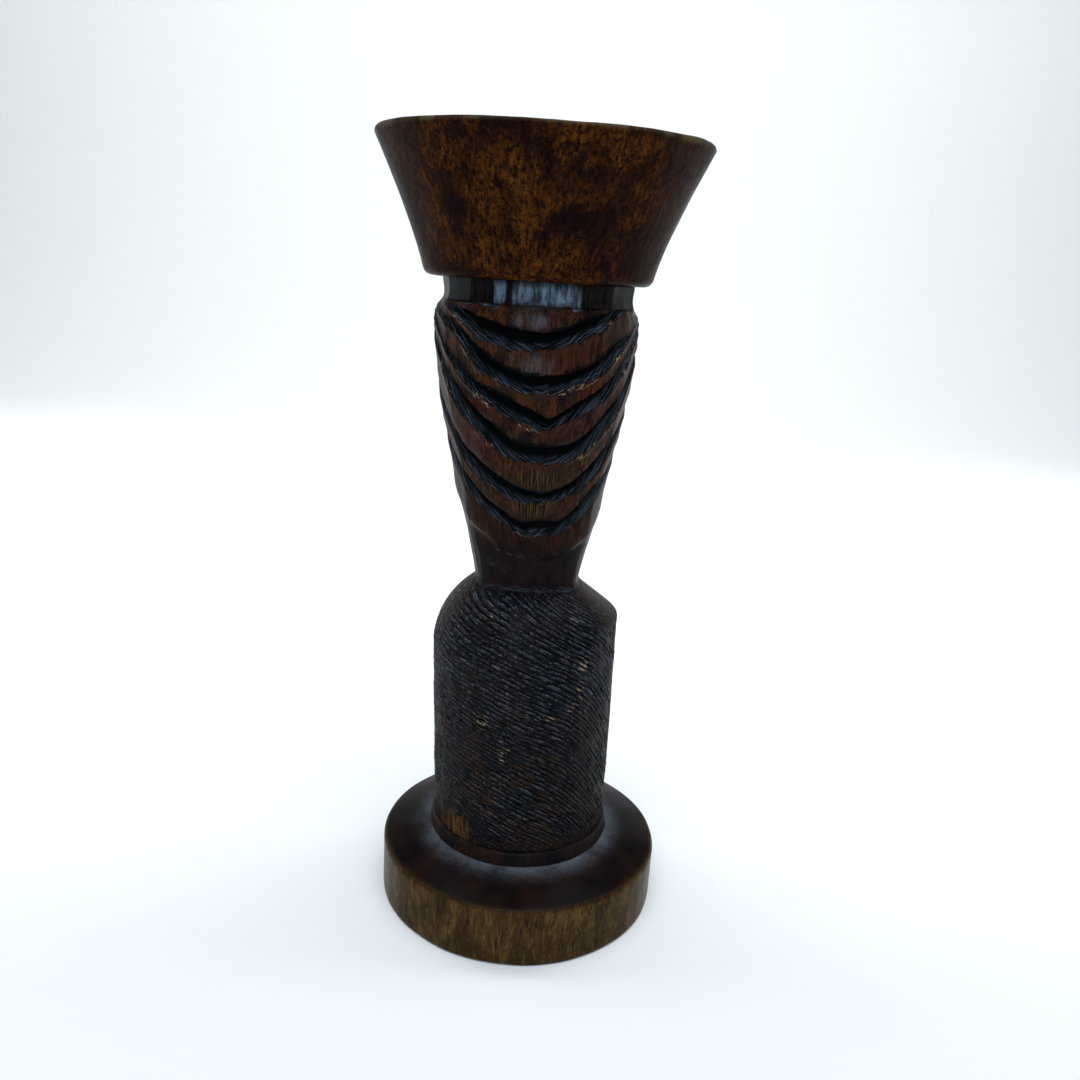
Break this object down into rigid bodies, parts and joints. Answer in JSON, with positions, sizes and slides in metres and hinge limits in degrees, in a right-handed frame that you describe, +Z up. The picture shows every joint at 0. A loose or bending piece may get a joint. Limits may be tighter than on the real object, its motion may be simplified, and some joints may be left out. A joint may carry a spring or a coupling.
{
  "type": "headrest",
  "caption": "Carved wooden headrest: a flared round rest on a grooved column, a hatched block, a foot ring and a round base.",
  "frame": {"origin": "centre of the base disc's flat underside", "axes": "+Z up from the base to the rest, -Y towards the front, +X to the right seen from the front"},
  "size_m": [0.0818, 0.08, 0.2],
  "materials": {
    "base_wood": "oiled straight-grained hardwood, satin",
    "ring_wood": "dark polished hardwood, satin",
    "hatched_wood": "blackened hardwood with knife hatching",
    "carved_wood": "red-brown waxed bands over blackened grooves",
    "head_wood": "dark polished hardwood with figured grain"
  },
  "bodies": {
    "root": {"base_disc": "base_wood", "foot_ring": "ring_wood", "hatched_block": "hatched_wood", "carved_column": "carved_wood", "headpiece": "head_wood"}
  },
  "joints": []
}
